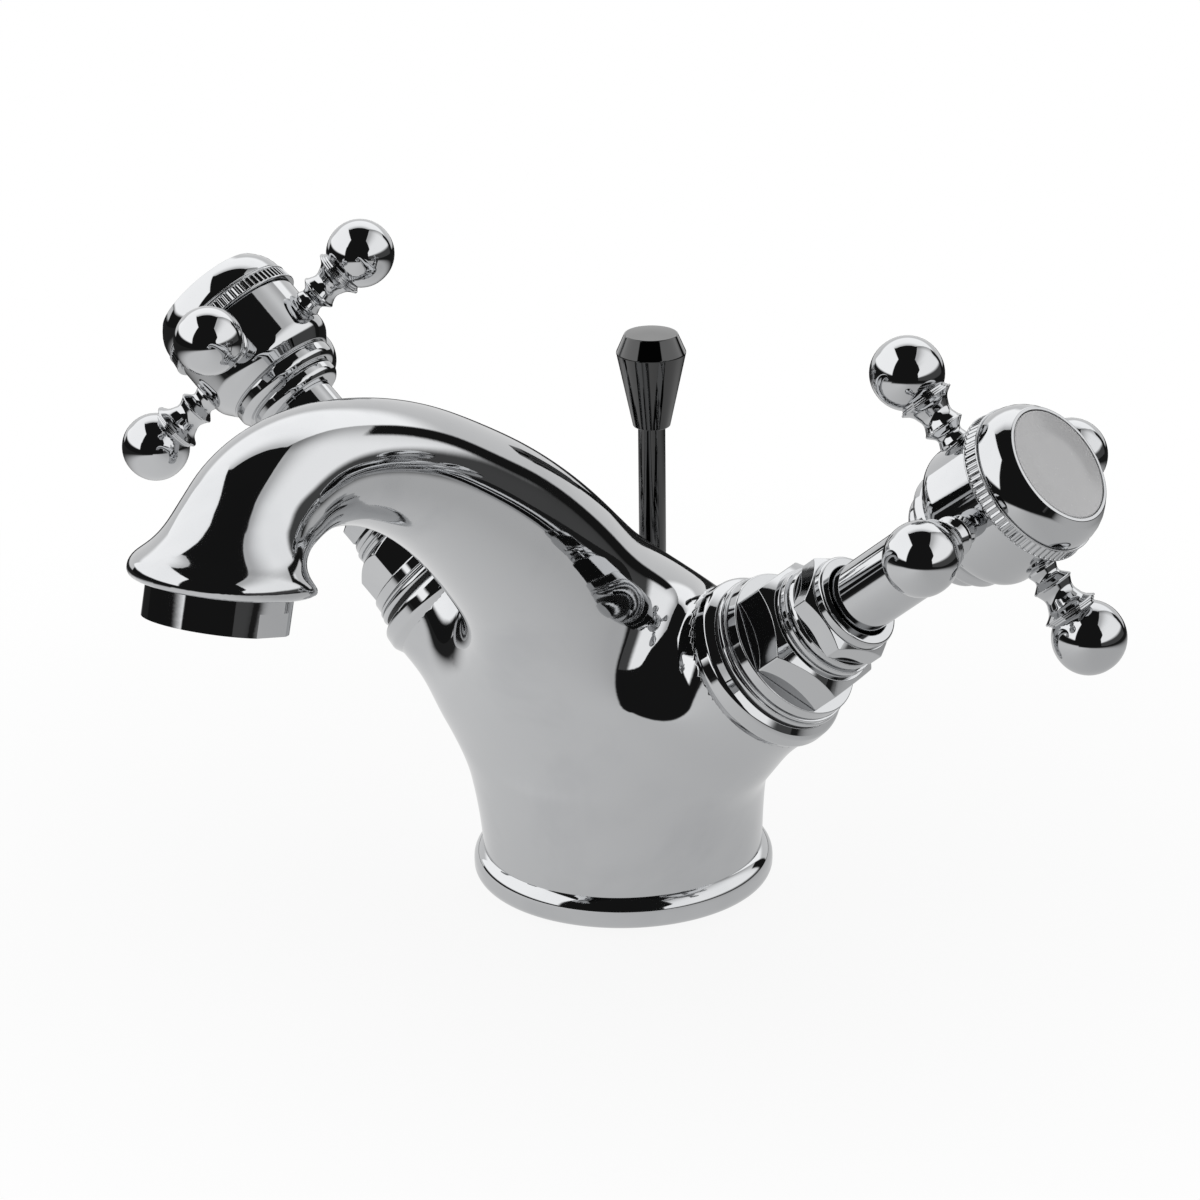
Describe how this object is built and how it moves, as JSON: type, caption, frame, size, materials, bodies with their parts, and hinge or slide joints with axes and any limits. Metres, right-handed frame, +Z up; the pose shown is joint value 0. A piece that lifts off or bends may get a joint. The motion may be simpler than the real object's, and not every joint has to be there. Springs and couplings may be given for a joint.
{
  "type": "basin mixer tap",
  "caption": "Deck-mounted basin mixer with a swan-neck spout, raised valve arms, turned cross handles with white index discs and a pop-up lift rod behind the spout.",
  "frame": {"origin": "centre of the foot, on the face that rests on the basin", "axes": "+Z up from the basin, -Y out along the spout towards the user, +X towards the cold handle"},
  "size_m": [0.2069, 0.1585, 0.1168],
  "materials": {
    "chrome": "polished",
    "rubber": "matt",
    "jet_plastic": "moulded",
    "brass": "machined",
    "steel": "machined",
    "disc_ceramic": "lapped",
    "index_glaze": "gloss"
  },
  "bodies": {
    "mixer": {"body": "chrome", "base_seal": "rubber", "rod_bush": "chrome", "aerator_housing": "chrome", "aerator_washer": "rubber", "aerator_insert": "jet_plastic", "cold_bonnet_seal": "rubber", "cold_bonnet": "chrome", "cold_gland_nut": "chrome", "cold_fixed_disc": "disc_ceramic", "cold_seat_seal": "rubber", "hot_bonnet_seal": "rubber", "hot_bonnet": "chrome", "hot_gland_nut": "chrome", "hot_fixed_disc": "disc_ceramic", "hot_seat_seal": "rubber"},
    "cold_handle": {"cold_hub": "chrome", "cold_arm_1": "chrome", "cold_arm_2": "chrome", "cold_arm_3": "chrome", "cold_arm_4": "chrome", "cold_shroud": "chrome", "cold_cap": "chrome", "cold_index": "index_glaze", "cold_screw": "steel", "cold_spindle": "brass", "cold_spindle_ring": "rubber", "cold_moving_disc": "disc_ceramic"},
    "hot_handle": {"hot_hub": "chrome", "hot_arm_1": "chrome", "hot_arm_2": "chrome", "hot_arm_3": "chrome", "hot_arm_4": "chrome", "hot_shroud": "chrome", "hot_cap": "chrome", "hot_index": "index_glaze", "hot_screw": "steel", "hot_spindle": "brass", "hot_spindle_ring": "rubber", "hot_moving_disc": "disc_ceramic"},
    "lift_rod": {"lift_rod": "chrome", "lift_knob": "chrome"}
  },
  "joints": [
    {"name": "cold_turn", "type": "hinge", "parent": "mixer", "child": "cold_handle", "pos_m": [0.08044, -0.0037, 0.08939], "axis": [0.766, 0, 0.6428], "range_deg": [-90, 0]},
    {"name": "hot_turn", "type": "hinge", "parent": "mixer", "child": "hot_handle", "pos_m": [-0.08044, -0.0037, 0.08939], "axis": [-0.766, 0, 0.6428], "range_deg": [0, 90]},
    {"name": "rod_lift", "type": "slide", "parent": "mixer", "child": "lift_rod", "axis": [0, 0, 1], "range_m": [-0.02, 0]}
  ]
}
